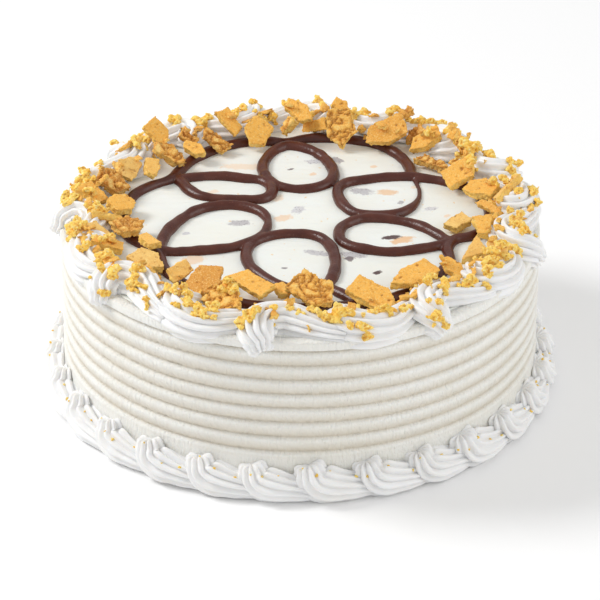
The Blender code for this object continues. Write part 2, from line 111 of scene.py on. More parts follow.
# How bright the white sky is, and the name, place, size across and power of each lamp
SKY_STRENGTH = 0.62
LIGHTS = (
    ("window", (-1.3, 0.25, 1.2), 0.6, 17),
    ("side_fill", (1.6, -0.4, 0.9), 1.2, 8),
    ("front_fill", (0.3, -1.9, 0.6), 1.4, 1.8),
)

# Rings in the top of the ice cream, and steps round the axis in it and in its coat
CREAM_RINGS = 110
CREAM_STEPS = 400
COAT_STEPS = 620

# A ridge that the comb leaves: its steps, the share of it that rises to the crest, and the share
# of the lowest ridge that is there
RIDGE_STEPS = 11
RIDGE_CREST = 0.28
LAST_RIDGE = 0.4

# The swagged rope of the top border. Each station is millimetres along the rim, from the axis and
# above the cake's top, and the rope's radius. An arch starts outside, hanging over the edge.
RIM_RADIUS = 114
PAIR_LENGTH = 80
ARCH_ANGLES = (-50, -6, 37, 78, 118, 158, 197, 236, 273)
ROPE_RISE = 0.5
ARCH = (
    (-5.5, 126, -4, 7.2),
    (-7.2, 123, -0.4, 10),
    (-7.5, 117.5, 1.1, 11.4),
    (-3.8, 111.8, 1.5, 11.4),
    (4, 109.5, 1.6, 10.6),
    (11, 112, 1.4, 9.8),
    (18, 116, 1, 8.6),
    (24.5, 119.5, 0.5, 7.2),
    (31, 122, 0, 5.6),
)
SWAG = (
    (-3.5, 107.5, 1.2, 7.6),
    (-7.5, 111, 1.6, 10.4),
    (-7, 116, 1.4, 11.2),
    (-2, 119, 0.6, 10.8),
    (5, 120.5, 0, 10),
    (12, 119.5, 0, 9.2),
    (18.5, 116, 0.5, 8.2),
    (25, 112.5, 1, 7),
    (31, 110, 1.2, 5.6),
)

# The shells round the foot, in the same terms, with heights over the underside. The head of each
# comes down in a quarter circle, so that its ribs fan out from the top.
SHELLS = 28
FIRST_SHELL_ANGLE = 6.6
SHELL_ANGLE_SHIFT = 0.5
SHELL_SIZES = (0.96, 1.03)
SHELL = (
    (-10, 127.8, 17, 8),
    (-9, 128.1, 13.8, 9.9),
    (-6.7, 128.4, 11, 10.7),
    (-3.2, 128.7, 9.1, 10.8),
    (1, 128.9, 7.9, 10.2),
    (6, 129.2, 7.1, 9),
    (11.5, 129.4, 6.4, 7.8),
    (17, 129.4, 5.5, 6.4),
    (22.5, 129.4, 4.4, 5),
)

# The fudge: a wavy ring and six petals. Points are X and Y in millimetres, with a third value
# where the line thins.
RING = (
    (8, -93.5), (32, -90), (54, -79), (70, -62), (77.5, -44), (77, -31), (81, -21.5), (91, -17),
    (99, -6), (101, 9), (98, 25), (89, 38.5), (76, 45), (62, 50.5), (59.5, 62), (55, 74),
    (45, 86.5), (28, 94), (8, 96), (-8, 91.5), (-25, 92), (-44, 84.5), (-58, 71), (-66, 56),
    (-70, 47), (-80, 39.5), (-89, 29), (-92.5, 15), (-94, -1), (-90, -17), (-79, -30),
    (-73, -40), (-68, -57), (-51, -77), (-30, -89), (-11, -94),
)
BACK_PETAL = (
    (-5, 86.5), (6.5, 81), (14.5, 70), (18.3, 56), (16.5, 45), (10, 38), (0, 35.3), (-11.5, 39.5),
    (-18, 49), (-20.3, 63), (-17, 76), (-11.5, 84),
)
LEFT_BACK_PETAL = (
    (-64.5, 47), (-51, 50.5), (-40, 50.5), (-31, 48), (-21.5, 46), (-15.7, 39), (-15.7, 30),
    (-20.5, 24), (-32, 23.3), (-43, 24.3), (-53, 27.5), (-59.5, 34.5), (-62.5, 41),
)
LEFT_PETAL = (
    (-72.5, -32), (-72, -21), (-69, -10), (-62, 3), (-54.5, 11.5), (-45.5, 16), (-36, 17),
    (-27, 14.3), (-20, 8.5), (-17, 0, 0.7), (-18, -10, 0.75), (-22.5, -20), (-31.5, -28),
    (-43, -32), (-57, -34.3), (-67, -35.2),
)
FRONT_PETAL = (
    (-11.5, -69.5), (-20, -60), (-25.7, -50), (-28, -37), (-25.7, -27), (-18.5, -19.5),
    (-8.5, -15.3), (3, -15.3), (11.5, -20), (16.5, -30), (18.3, -41.5), (18, -53), (15.5, -65),
    (10, -74), (-1, -75.5),
)
RIGHT_PETAL = (
    (77, -23), (70, -13), (61.5, -5), (50, 0.5), (37, 2.6), (28.5, -0.5), (21.5, -8.5),
    (21, -20), (26, -28), (37, -33), (50, -34.8), (64.5, -31), (73, -27.5),
)
RIGHT_BACK_PETAL = (
    (62, 49.5), (48.5, 49.3), (37, 47), (26, 43.5), (21, 37.5), (20.5, 28.5), (23.5, 17),
    (29.5, 8.5), (40, 5.3), (51.5, 7.3), (59, 14.5, 0.8), (63.3, 24.5, 0.5), (64.3, 34.5, 0.4),
    (63, 43, 0.42),
)
FRONT_TAIL = ((13, -71), (21, -79), (30, -89))
FUDGE_LOOPS = (
    RING, BACK_PETAL, LEFT_BACK_PETAL, LEFT_PETAL, FRONT_PETAL, RIGHT_PETAL, RIGHT_BACK_PETAL,
)

# What is mixed into the ice cream and shows at its top, in millimetres: X, Y, length, width,
# turn in degrees and how deep it lies under the surface, from 0 to 1
CHOCOLATE = (
    (-32, -1, 11, 6, 10, 0.45), (-1, 14, 9, 6, 60, 0.7), (33, 35, 12, 7, -15, 0.5),
    (48, -17, 9, 4.5, 15, 0), (9, -34, 13, 5, -20, 0.55), (28, -36, 12, 6, -10, 0.5),
    (26, -40, 6, 5, 50, 0.1), (40, -55, 5, 3, 40, 0), (20, 72, 8, 5, -40, 0.35),
    (8, 70, 9, 5, 10, 0.75), (-5, 61, 4, 2, 20, 0.1), (41, 52, 6, 3, -30, 0.3),
    (70, 15, 7, 4, 20, 0.75), (-8, -50, 3, 2, 0, 0.2),
    (-50, -58, 3, 2, 40, 0.2), (54, 22, 4, 3, 70, 0.4), (-60, -12, 4, 3, 15, 0.6),
)
FRUIT = (
    (-9, 5, 10, 6, 25, 0.35), (47, 34, 10, 6, -10, 0.2), (54, -20, 12, 6, 20, 0.1),
    (-56, -42, 14, 8, 35, 0.35), (-31, 64, 22, 7, -4, 0.55), (40, 64, 4, 3, 0, 0.3),
    (7, 55, 4, 3, 30, 0.3), (-12, 27, 8, 5, 50, 0.5),
    (18, 50, 4, 3, 0, 0.4), (62, 40, 5, 3, 20, 0.5), (-47, 34, 6, 4, 30, 0.5),
    (78, 6, 4, 3, 60, 0.4), (-3, -64, 4, 3, 0, 0.5), (31, 12, 5, 3, -30, 0.5),
)

# How darkly toasted and how pale some cookies are, and which are craggy, by their numbers
TOASTED = {
    9: 0.3, 14: 0.5, 17: 0.5, 18: 0.3, 21: 0.4, 27: 0.4, 28: 0.5, 31: 0.4, 32: 0.3, 35: 0.6,
    40: 0.4, 46: 0.7,
}
PALE = {
    5: 0.5, 6: 0.7, 8: 0.8, 10: 0.7, 33: 0.7, 34: 0.3, 38: 0.8, 39: 0.4, 42: 0.3, 43: 0.8, 44: 0.5,
}
CRAGGY = {1, 13, 14, 17, 19, 21, 23, 27, 28, 32, 35, 40, 47}

# Where crumbs, chips and specks lie: the least, most and likeliest distance from the axis in
# millimetres, the least height, and how far under the top of the cake's box they all stay
CLUMP_BELT = (101, 131, 119)
CHIP_BELT = (93, 126, 106)
SPECK_BELT = (130, 137.5, 134)
LOWEST_CRUMB = CAKE_TOP - 5 * MM
LOWEST_SPECK = 4 * MM
ROOM_FOR_CRUMBS = 5 * MM


def linear(code):
    """An sRGB hex colour as linear values."""
    channels = [int(code[start:start + 2], 16) / 255 for start in (1, 3, 5)]
    return tuple(
        channel / 12.92 if channel <= 0.04045 else ((channel + 0.055) / 1.055) ** 2.4
        for channel in channels
    )


class CakeSettings(bpy.types.PropertyGroup):
    """Sizes and colours of the cake that a user may change."""

    groove_count: bpy.props.IntProperty(
        name="Grooves", description="Grooves that the comb left round the side", default=8, min=1
    )
    groove_pitch: bpy.props.FloatProperty(
        name="Groove pitch", description="From one groove to the next",
        default=8.35 * MM, unit="LENGTH",
    )
    groove_depth: bpy.props.FloatProperty(
        name="Groove depth", description="From a ridge's crest to the grooves beside it",
        default=1.75 * MM, unit="LENGTH",
    )
    lowest_groove: bpy.props.FloatProperty(
        name="Lowest groove", description="Its height over the underside",
        default=26 * MM, unit="LENGTH",
    )
    fudge_width: bpy.props.FloatProperty(
        name="Fudge width", description="Width of the line of fudge",
        default=6.7 * MM, unit="LENGTH",
    )
    crumb_clumps: bpy.props.IntProperty(
        name="Crumb clumps", description="Clumps of cookie crumb on the top border",
        default=150, min=0,
    )
    cookie_chips: bpy.props.IntProperty(
        name="Cookie chips", description="Small chips of cookie among the broken pieces",
        default=190, min=0,
    )
    shell_specks: bpy.props.IntProperty(
        name="Specks", description="Specks of crumb on the shells round the foot",
        default=90, min=0,
    )
    ice_cream_colour: bpy.props.FloatVectorProperty(
        name="Ice cream", description="Vanilla ice cream", subtype="COLOR",
        default=linear("#F1F3EE"),
    )
    combed_colour: bpy.props.FloatVectorProperty(
        name="Combed icing", description="Icing on the side", subtype="COLOR",
        default=linear("#F5F4EF"),
    )
    piped_colour: bpy.props.FloatVectorProperty(
        name="Piped icing", description="Icing of the borders", subtype="COLOR",
        default=linear("#F3F3F3"),
    )
    fudge_colour: bpy.props.FloatVectorProperty(
        name="Fudge", description="Dark fudge", subtype="COLOR", default=linear("#4B2016"),
    )
    cookie_colour: bpy.props.FloatVectorProperty(
        name="Cookie", description="Face of a golden cookie", subtype="COLOR",
        default=linear("#FDBE56"),
    )
    toasted_colour: bpy.props.FloatVectorProperty(
        name="Toasted cookie", description="Darkest pieces of cookie", subtype="COLOR",
        default=linear("#CE8536"),
    )
    crumb_colour: bpy.props.FloatVectorProperty(
        name="Crumb", description="Inside of the cookie, as its crumbs show it", subtype="COLOR",
        default=linear("#FFDC74"),
    )


def settings():
    return bpy.context.scene.cake_settings


def around(angle, radius, height):
    turn = math.radians(angle)
    return Vector((radius * math.sin(turn), -radius * math.cos(turn), height))


def waves(points, wavelength, seed, count=9):
    """Smooth unevenness between about -1 and 1: plane waves that run in random directions."""
    draw = np.random.default_rng(seed)
    directions = draw.normal(size=(count, 3))
    directions /= np.linalg.norm(directions, axis=1)[:, None]
    lengths = wavelength * draw.uniform(0.7, 1.5, count)
    phases = draw.uniform(0, TAU, count)
    steps = points @ (directions / lengths[:, None]).T * TAU + phases
    return np.sin(steps).sum(axis=1) / math.sqrt(2 * count)


def noise_at(points, size):
    """Noise of about that size at each point, between about -1 and 1."""
    return np.array([noise.noise(Vector(point)) for point in points / size])


def positions(mesh):
    flat = np.empty(len(mesh.vertices) * 3)
    mesh.vertices.foreach_get("co", flat)
    return flat.reshape(-1, 3)


def directions_out(mesh):
    flat = np.empty(len(mesh.vertices) * 3)
    mesh.vertices.foreach_get("normal", flat)
    return flat.reshape(-1, 3)


def move_to(mesh, points):
    mesh.vertices.foreach_set("co", np.ascontiguousarray(points, np.float64).ravel())
    mesh.update()


def store(mesh, name, values):
    """Keeps one number for each vertex, which the material reads."""
    layer = mesh.attributes.new(name, "FLOAT", "POINT")
    layer.data.foreach_set("value", np.ascontiguousarray(values, np.float32))


def new_piece(name, bm, material, nodes=()):
    """Makes the bmesh a finished piece, which rides on the cake and may stand for CAD nodes."""
    mesh = bpy.data.meshes.new(name)
    bm.to_mesh(mesh)
    bm.free()
    mesh.materials.append(material)
    mesh.shade_smooth()
    piece = bpy.data.objects.new(name, mesh)
    bpy.context.scene.collection.objects.link(piece)
    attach(piece, "root")
    if nodes:
        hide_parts(*nodes)
    return piece


def smooth_route(stations, per_span, closed=False):
    """Points of a Catmull-Rom curve through the stations, with per_span steps between two."""
    points = np.array(stations, float)
    if closed:
        padded = np.vstack((points[-1], points, points[0], points[1]))
    else:
        padded = np.vstack((2 * points[0] - points[1], points, 2 * points[-1] - points[-2]))
    steps = np.arange(per_span)[:, None] / per_span
    spans = []
    for before, start, end, after in zip(padded, padded[1:], padded[2:], padded[3:]):
        spans.append(0.5 * (
            2 * start + (end - before) * steps
            + (2 * before - 5 * start + 4 * end - after) * steps ** 2
            + (3 * start - before - 3 * end + after) * steps ** 3
        ))
    if not closed:
        spans.append(points[-1:])
    return np.vstack(spans)


def bent_grid(bm, columns, rows, place):
    """A grid whose vertices place() moves, given each one's column and row."""
    made = bmesh.ops.create_grid(bm, x_segments=columns, y_segments=rows, size=0.5)["verts"]
    column = np.rint([(vertex.co.x + 0.5) * columns for vertex in made]).astype(int)
    row = np.rint([(vertex.co.y + 0.5) * rows for vertex in made]).astype(int)
    for vertex, spot in zip(made, place(column % columns, row)):
        vertex.co = spot
    return made


def closed_shape(bm):
    """Welds the seams and poles of bent grids and turns their faces outwards."""
    bmesh.ops.remove_doubles(bm, verts=bm.verts, dist=WELD)
    bmesh.ops.recalc_face_normals(bm, faces=bm.faces)


# Over how many rows of piped icing a bend is evened out
BEND_ROWS = 7


class Star:
    """The mark of a star nozzle: how many ribs it leaves, how deep and how sharp."""

    def __init__(self, ribs, depth, sharpness, turn=0.0):
        self.ribs, self.depth, self.sharpness, self.turn = ribs, depth, sharpness, turn

    def rib(self, angles):
        """1 on the crest of a rib and 0 in the valley beside it."""
        wave = 0.5 + 0.5 * np.cos(self.ribs * (angles + self.turn))
        return wave ** self.sharpness


def pipe_icing(bm, route, star, columns, head_rows, tail_rows, cap, tip, face=(0, 0, 1), hold=1.7):
    """One shell of piped icing along a route of places and radii, in metres.

    Where the route bends sharper than the icing is wide, its ribs run together round the bend.
    cap is how far the head bulges back, tip how far its ribs reach past it like fingers, face a
    direction across the route, and hold how far the icing may reach into a bend, in the bend's
    own radii.
    """
    places, radii = route[:, :3], route[:, 3]
    ahead = np.gradient(places, axis=0)
    step = np.linalg.norm(ahead, axis=1)
    ahead /= step[:, None]
    side = np.cross(ahead, face)
    side /= np.linalg.norm(side, axis=1)[:, None]
    up = np.cross(side, ahead)
    bend = np.gradient(ahead, axis=0) / step[:, None]
    bend = np.apply_along_axis(np.convolve, 0, bend, np.ones(BEND_ROWS) / BEND_ROWS, "same")
    bend -= ahead * (bend * ahead).sum(axis=1)[:, None]
    sharpness = np.linalg.norm(bend, axis=1) + 1e-6
    inwards = bend / sharpness[:, None]
    room = hold / sharpness
    last = len(places) - 1
    rows = last + head_rows + tail_rows

    def place(column, row):
        angles = TAU * column / columns
        rib = star.rib(angles)
        station = np.clip(row - head_rows, 0, last)
        head = np.clip(row / head_rows, 0, 1) * math.pi / 2
        tail = np.clip((rows - row) / tail_rows, 0, 1) * math.pi / 2
        size = radii[station] * np.sin(head) ** (1.5 - 0.8 * rib) * np.sin(tail)
        size = size * (1 - star.depth * (1 - rib))
        offset = (side[station] * (np.cos(angles) * size)[:, None]
                  + up[station] * (np.sin(angles) * size)[:, None])
        reach = (offset * inwards[station]).sum(axis=1)
        held = np.where(reach > 0, room[station] * np.tanh(reach / room[station]), reach)
        offset += inwards[station] * (held - reach)[:, None]
        back = -cap * np.cos(head) - tip * rib * np.sin(2 * head)
        forth = cap * np.cos(tail) * radii[-1] / radii.max()
        return places[station] + offset + ahead[station] * (back + forth)[:, None]

    return bent_grid(bm, columns, rows, place)


def rim_route(route, angle, rise, stretch, per_span):
    """A route in metres from stations along the rim, about an angle."""
    fine = smooth_route(route, per_span)
    turns = np.radians(angle + np.degrees(fine[:, 0] * stretch / RIM_RADIUS))
    places = np.column_stack((
        fine[:, 1] * np.sin(turns), -fine[:, 1] * np.cos(turns), fine[:, 2] + rise, fine[:, 3],
    ))
    return places * MM


def node(tree, kind, properties=None, inputs=None):
    """Adds a node, sets its properties and fills or links its inputs."""
    added = tree.nodes.new("ShaderNode" + kind)
    for name, value in (properties or {}).items():
        setattr(added, name, value)
    for name, value in (inputs or {}).items():
        if isinstance(value, bpy.types.NodeSocket):
            tree.links.new(value, added.inputs[name])
        else:
            added.inputs[name].default_value = value
    return added


def start_material(name, roughness, subsurface=0.0, depth=2 * MM, ior=1.45):
    """A material with its shader, and the object coordinates that its patterns are drawn in."""
    material = bpy.data.materials.new(name)
    material.use_nodes = True
    tree = material.node_tree
    shader = tree.nodes["Principled BSDF"]
    shader.inputs["Roughness"].default_value = roughness
    shader.inputs["IOR"].default_value = ior
    shader.inputs["Subsurface Weight"].default_value = subsurface
    shader.inputs["Subsurface Radius"].default_value = (1.0, 0.85, 0.7)
    shader.inputs["Subsurface Scale"].default_value = depth
    where = node(tree, "TexCoord").outputs["Object"]
    return material, tree, shader, where


def speckle(tree, where, size, detail=3.0, roughness=0.55):
    """Noise whose lumps are about size metres across."""
    inputs = {"Vector": where, "Scale": 1 / size, "Detail": detail, "Roughness": roughness}
    return node(tree, "TexNoise", {}, inputs).outputs["Fac"]


def blend_colours(tree, factor, first, second):
    mixed = node(tree, "Mix", {"data_type": "RGBA"})
    for socket, value in ((0, factor), (6, first), (7, second)):
        if isinstance(value, bpy.types.NodeSocket):
            tree.links.new(value, mixed.inputs[socket])
        elif socket == 0:
            mixed.inputs[socket].default_value = value
        else:
            mixed.inputs[socket].default_value = (*value[:3], 1)
    return mixed.outputs[2]


def between(tree, value, low, high):
    """The value stretched so that low becomes 0 and high becomes 1, and clamped there."""
    inputs = {"Value": value, "From Min": low, "From Max": high}
    return node(tree, "MapRange", {"clamp": True}, inputs).outputs["Result"]


def multiply(tree, first, second):
    return node(tree, "Math", {"operation": "MULTIPLY"}, {0: first, 1: second}).outputs[0]


def stored(tree, name):
    return node(tree, "Attribute", {"attribute_name": name}).outputs["Fac"]


def relief(tree, shader, height, distance):
    """A bump that is distance metres high on the shader, over any that is already there."""
    bump = node(tree, "Bump", {}, {"Height": height, "Distance": distance, "Strength": 1})
    for link in list(shader.inputs["Normal"].links):
        tree.links.new(link.from_socket, bump.inputs["Normal"])
    tree.links.new(bump.outputs["Normal"], shader.inputs["Normal"])


def colour_by(tree, shader, colour):
    tree.links.new(colour, shader.inputs["Base Color"])


def vanilla_ice_cream():
    """Frozen dairy, smoothed with a spatula: soft, faintly glossy, with veiled inclusions."""
    material, tree, shader, where = start_material("vanilla_ice_cream", 0.42, 0.12)
    cream = settings().ice_cream_colour[:]
    warmth = between(tree, speckle(tree, where, 30 * MM, 2), 0.35, 0.65)
    colour = blend_colours(tree, warmth, cream, linear("#F0F0E7"))
    specks = between(tree, speckle(tree, where, 3.2 * MM, 1), 0.74, 0.78)
    colour = blend_colours(tree, specks, colour, linear("#F0D9B4"))
    ragged = speckle(tree, where, 3 * MM, 4, 0.65)
    for name, deep, shallow in (
        ("fruit", "#F5EBDC", "#EDBD8B"), ("chocolate", "#DFDEDF", "#5F4A48"),
    ):
        near = node(tree, "Math", {"operation": "MULTIPLY_ADD"},
                    {0: ragged, 1: 0.9, 2: stored(tree, name)}).outputs[0]
        shows = between(tree, near, 0.86, 1.06)
        body = blend_colours(tree, stored(tree, name + "_shallow"), linear(deep), linear(shallow))
        colour = blend_colours(tree, shows, colour, body)
    # What shows last is the chocolate, and these bits are its own
    bits = between(tree, speckle(tree, where, 1.1 * MM, 2), 0.58, 0.66)
    bits = multiply(tree, multiply(tree, bits, 0.7), shows)
    colour_by(tree, shader, blend_colours(tree, bits, colour, linear("#6E6068")))
    drawn_out = {"Vector": where, "Scale": (1, 5, 1), "Rotation": (0, 0, 0.5)}
    smears = node(tree, "Mapping", {}, drawn_out).outputs[0]
    relief(tree, shader, speckle(tree, smears, 16 * MM, 3), 0.5 * MM)
    relief(tree, shader, speckle(tree, where, 1.4 * MM, 2), 0.06 * MM)
    return material


def combed_icing():
    """Whipped icing drawn with a comb: dull, with fine crumbs of air bubbles, and painted shade in
    its grooves.
    """
    material, tree, shader, where = start_material("combed_icing", 0.6, 0.15)
    icing = settings().combed_colour[:]
    warmth = between(tree, speckle(tree, where, 40 * MM, 2), 0.3, 0.7)
    colour = blend_colours(tree, warmth, icing, linear("#F0EEE6"))
    # Painted shade: the icing turns beige in each groove and down each ridge below its crest
    shade = multiply(tree, stored(tree, "groove"), 0.8)
    colour_by(tree, shader, blend_colours(tree, shade, colour, linear("#D5CAB5")))
    upright = node(tree, "Mapping", {}, {"Vector": where, "Scale": (1, 1, 0.35)}).outputs[0]
    relief(tree, shader, speckle(tree, upright, 1.5 * MM, 3, 0.6), 1.3 * MM)
    return material


def piped_icing():
    """Whipped icing from a star nozzle: smooth, white and softly glossy."""
    material, tree, shader, where = start_material("piped_icing", 0.42, 0.2, 2.5 * MM)
    icing = settings().piped_colour[:]
    warmth = between(tree, speckle(tree, where, 18 * MM, 2), 0.3, 0.7)
    colour_by(tree, shader, blend_colours(tree, warmth, icing, linear("#F0EFED")))
    relief(tree, shader, speckle(tree, where, 2.5 * MM, 2), 0.12 * MM)
    return material


def dark_fudge():
    """Cold fudge sauce: dark, with a soft sheen and a fine frosted grain."""
    material, tree, shader, where = start_material("dark_fudge", 0.31, 0.0, ior=1.48)
    shader.inputs["Specular IOR Level"].default_value = 0.44
    bloom = between(tree, speckle(tree, where, 9 * MM, 3), 0.35, 0.7)
    colour = blend_colours(tree, bloom, settings().fudge_colour[:], linear("#5B2D20"))
    grain = between(tree, speckle(tree, where, 0.9 * MM, 2), 0.62, 0.8)
    colour_by(tree, shader, blend_colours(tree, grain, colour, linear("#744639")))
    relief(tree, shader, speckle(tree, where, 1.1 * MM, 2), 0.16 * MM)
    return material


def golden_cookie():
    """Baked cookie: dry and porous, sandy on its face and coarser where it broke, with painted
    shade in its pits and creases and painted highlights on its crests.
    """
    material, tree, shader, where = start_material("golden_cookie", 0.78, 0.05, 1 * MM)
    chosen = settings()
    toast = stored(tree, "toast")
    face = blend_colours(tree, toast, chosen.cookie_colour[:], chosen.toasted_colour[:])
    pale = blend_colours(tree, stored(tree, "pale"), face, linear("#FAD180"))
    blotch = between(tree, speckle(tree, where, 5 * MM, 4, 0.6), 0.38, 0.68)
    darker = blend_colours(tree, 0.35, pale, linear("#DE9A34"))
    colour = blend_colours(tree, blotch, pale, darker)
    inside = blend_colours(tree, toast, linear("#FDD066"), linear("#D9933F"))
    colour = blend_colours(tree, multiply(tree, stored(tree, "broken"), 0.75), colour, inside)
    # Painted shade: the pits and creases turn deep brown
    colour = blend_colours(tree, stored(tree, "hollow"), colour, linear("#A45C1A"))
    # Painted highlight: the crests of broken edges and craggy ridges turn pale gold
    colour = blend_colours(tree, stored(tree, "crest"), colour, linear("#FBDA86"))
    sand = between(tree, speckle(tree, where, 0.8 * MM, 2), 0.52, 0.66)
    colour = blend_colours(tree, multiply(tree, sand, 0.6), colour, linear("#FDDC8E"))
    baked = between(tree, speckle(tree, where, 1.3 * MM, 3), 0.44, 0.3)
    colour = blend_colours(tree, multiply(tree, baked, 0.5), colour, linear("#C27A2C"))
    colour_by(tree, shader, colour)
    relief(tree, shader, speckle(tree, where, 0.9 * MM, 3, 0.7), 0.4 * MM)
    return material


def cookie_crumb():
    """Inside of the cookie in crumbs: yellow, dry and spongy, with painted shade in its hollows."""
    material, tree, shader, where = start_material("cookie_crumb", 0.8, 0.2, 1 * MM)
    blotch = between(tree, speckle(tree, where, 6 * MM, 3), 0.38, 0.66)
    colour = blend_colours(tree, blotch, settings().crumb_colour[:], linear("#FAC44C"))
    light = between(tree, speckle(tree, where, 1.4 * MM, 2), 0.52, 0.68)
    colour = blend_colours(tree, light, colour, linear("#FFEBA2"))
    # Painted shade in the hollows of the crumbs
    colour_by(tree, shader, blend_colours(tree, stored(tree, "hollow"), colour, linear("#E5A238")))
    relief(tree, shader, speckle(tree, where, 0.8 * MM, 3, 0.7), 0.25 * MM)
    return material


MADE = {}


def shared(make):
    """The material that make() builds, built once for all the pieces that wear it."""
    if make not in MADE:
        MADE[make] = make()
    return MADE[make]


def spin_profile(bm, profile, steps):
    """A closed or open profile of radius and height, turned once round the axis."""
    vertices = [bm.verts.new((radius, 0, height)) for radius, height in profile]
    edges = [bm.edges.new(pair) for pair in zip(vertices, vertices[1:])]
    bmesh.ops.spin(
        bm, geom=vertices + edges, cent=(0, 0, 0), axis=(0, 0, 1), angle=TAU, steps=steps,
        use_merge=True, use_duplicate=False,
    )
    closed_shape(bm)


def spot_field(points, spots):
    """1 in the middle of the nearest spot, 0.5 at its rim and 0 well outside, and how clear."""
    strength = np.zeros(len(points))
    shallow = np.zeros(len(points))
    for x, y, length, width, turn, depth in spots:
        angle = math.radians(turn)
        away = points[:, :2] / MM - (x, y)
        along = away @ (math.cos(angle), math.sin(angle)) / (length / 2)
        across = away @ (-math.sin(angle), math.cos(angle)) / (width / 2)
        distance = (np.abs(along) ** 3 + np.abs(across) ** 3) ** (1 / 3)
        value = np.clip(1 - 0.5 * distance, 0, 1)
        shallow = np.where(value > strength, (1 - depth) ** 2, shallow)
        strength = np.maximum(strength, value)
    return strength, shallow


class CAKE_OT_ice_cream(bpy.types.Operator):
    """The round of ice cream, with fruit and chocolate in its top"""

    bl_idname = "cake.ice_cream"
    bl_label = "Ice Cream Round"

    def execute(self, context):
        rings = [CREAM_RADIUS * step / CREAM_RINGS for step in range(CREAM_RINGS + 1)]
        profile = [(radius, CAKE_TOP) for radius in rings]
        profile += [(CREAM_RADIUS, CAKE_TOP * (1 - step / 6)) for step in range(1, 7)]
        profile += [(CREAM_RADIUS / 2, 0), (0, 0)]
        bm = bmesh.new()
        spin_profile(bm, profile, CREAM_STEPS)
        piece = new_piece("ice_cream_round", bm, vanilla_ice_cream(), ["ice_cream"])
        points = positions(piece.data)
        for name, spots in (("fruit", FRUIT), ("chocolate", CHOCOLATE)):
            strength, shallow = spot_field(points, spots)
            store(piece.data, name, strength)
            store(piece.data, name + "_shallow", shallow)
        upper = points[:, 2] > CAKE_TOP - WELD
        swell = 0.28 * waves(points, 34 * MM, 1) + 0.1 * waves(points, 9 * MM, 2)
        points[upper, 2] += MM * np.clip(swell[upper], -0.5, 0.35) - 0.1 * MM
        move_to(piece.data, points)
        return {"FINISHED"}


def comb_profile(inner):
    """The coat's outline from its inner top edge down its outside, and each point's shade.

    The outline is radius and height. The shade is 1 in the bottom of a groove and 0 outside it; it
    is painted shade in the icing's colour, and the tearing of the icing follows it too.
    """
    chosen = settings()
    top_groove = chosen.lowest_groove + (chosen.groove_count - 1) * chosen.groove_pitch
    profile = [
        (inner, CAKE_TOP), (COAT_RADIUS - 2 * MM, CAKE_TOP),
        (COAT_RADIUS - 0.5 * MM, CAKE_TOP - 0.5 * MM),
    ]
    for step in range(1, 6):
        profile.append((COAT_RADIUS, CAKE_TOP + (top_groove - CAKE_TOP) * step / 6))
    shades = [0] * len(profile)
    for groove in range(chosen.groove_count):
        for step in range(RIDGE_STEPS):
            share = step / RIDGE_STEPS
            if groove == chosen.groove_count - 1 and share > LAST_RIDGE:
                break
            rising = share < RIDGE_CREST
            nearness = share / RIDGE_CREST if rising else (1 - share) / (1 - RIDGE_CREST)
            ridge = math.sin(math.pi / 2 * nearness) ** 0.9
            radius = COAT_RADIUS - chosen.groove_depth * (1 - ridge)
            profile.append((radius, top_groove - (groove + share) * chosen.groove_pitch))
            shades.append((1 - ridge) ** 2 if rising else 1 - nearness)
    bottom = profile[-1][1]
    for step in range(1, 13):
        profile.append((COAT_RADIUS, bottom + (COAT_FOOT - bottom) * step / 12))
        shades.append(0)
    return profile, shades


class CAKE_OT_combed_icing(bpy.types.Operator):
    """The icing on the side, with the ridges and sharp grooves that a comb leaves"""

    bl_idname = "cake.combed_icing"
    bl_label = "Combed Icing"

    def execute(self, context):
        inner = CREAM_RADIUS + 0.3 * MM
        profile, shades = comb_profile(inner)
        bm = bmesh.new()
        spin_profile(bm, [*profile, (inner, COAT_FOOT), (inner, CAKE_TOP)], COAT_STEPS)
        piece = new_piece("combed_coat", bm, combed_icing(), ["combed_icing"])
        mesh = piece.data
        points = positions(mesh)
        heights = np.array([height for _, height in profile])
        order = np.argsort(heights)
        shade = np.interp(points[:, 2], heights[order], np.array(shades)[order])
        outward = np.linalg.norm(points[:, :2], axis=1)
        outer = outward > inner + 1 * MM
        # The groove attribute is painted shade for the material, 1 in the bottom of a groove
        store(mesh, "groove", np.where(outer, shade, 0))
        drawn = waves(points * (1, 1, 3), 60 * MM, 3) * 0.12 + waves(points, 7 * MM, 4) * 0.05
        torn = noise_at(points * (1, 1, 0.45), 1.3 * MM) + 0.6 * noise_at(points, 2.4 * MM)
        move = (drawn - 0.12 + 0.32 * torn * (0.5 + 1.2 * shade)) * MM
        side = np.zeros_like(points)
        side[:, :2] = points[:, :2] / outward[:, None]
        points += side * np.where(outer, move, 0)[:, None]
        wander = waves(points * (1, 1, 2), 90 * MM, 5) * 0.35 * MM
        middle = (points[:, 2] > 4 * MM) & (points[:, 2] < CAKE_TOP - 3 * MM)
        points[:, 2] += np.where(outer & middle, wander, 0)
        move_to(mesh, points)
        return {"FINISHED"}


def soften(mesh, seed, amount):
    """Small swells and dents of icing that is pushed out by hand."""
    points = positions(mesh)
    out = directions_out(mesh)
    swell = waves(points, 11 * MM, seed) + 0.5 * waves(points, 5 * MM, seed + 1)
    move_to(mesh, points + out * (swell * amount)[:, None])


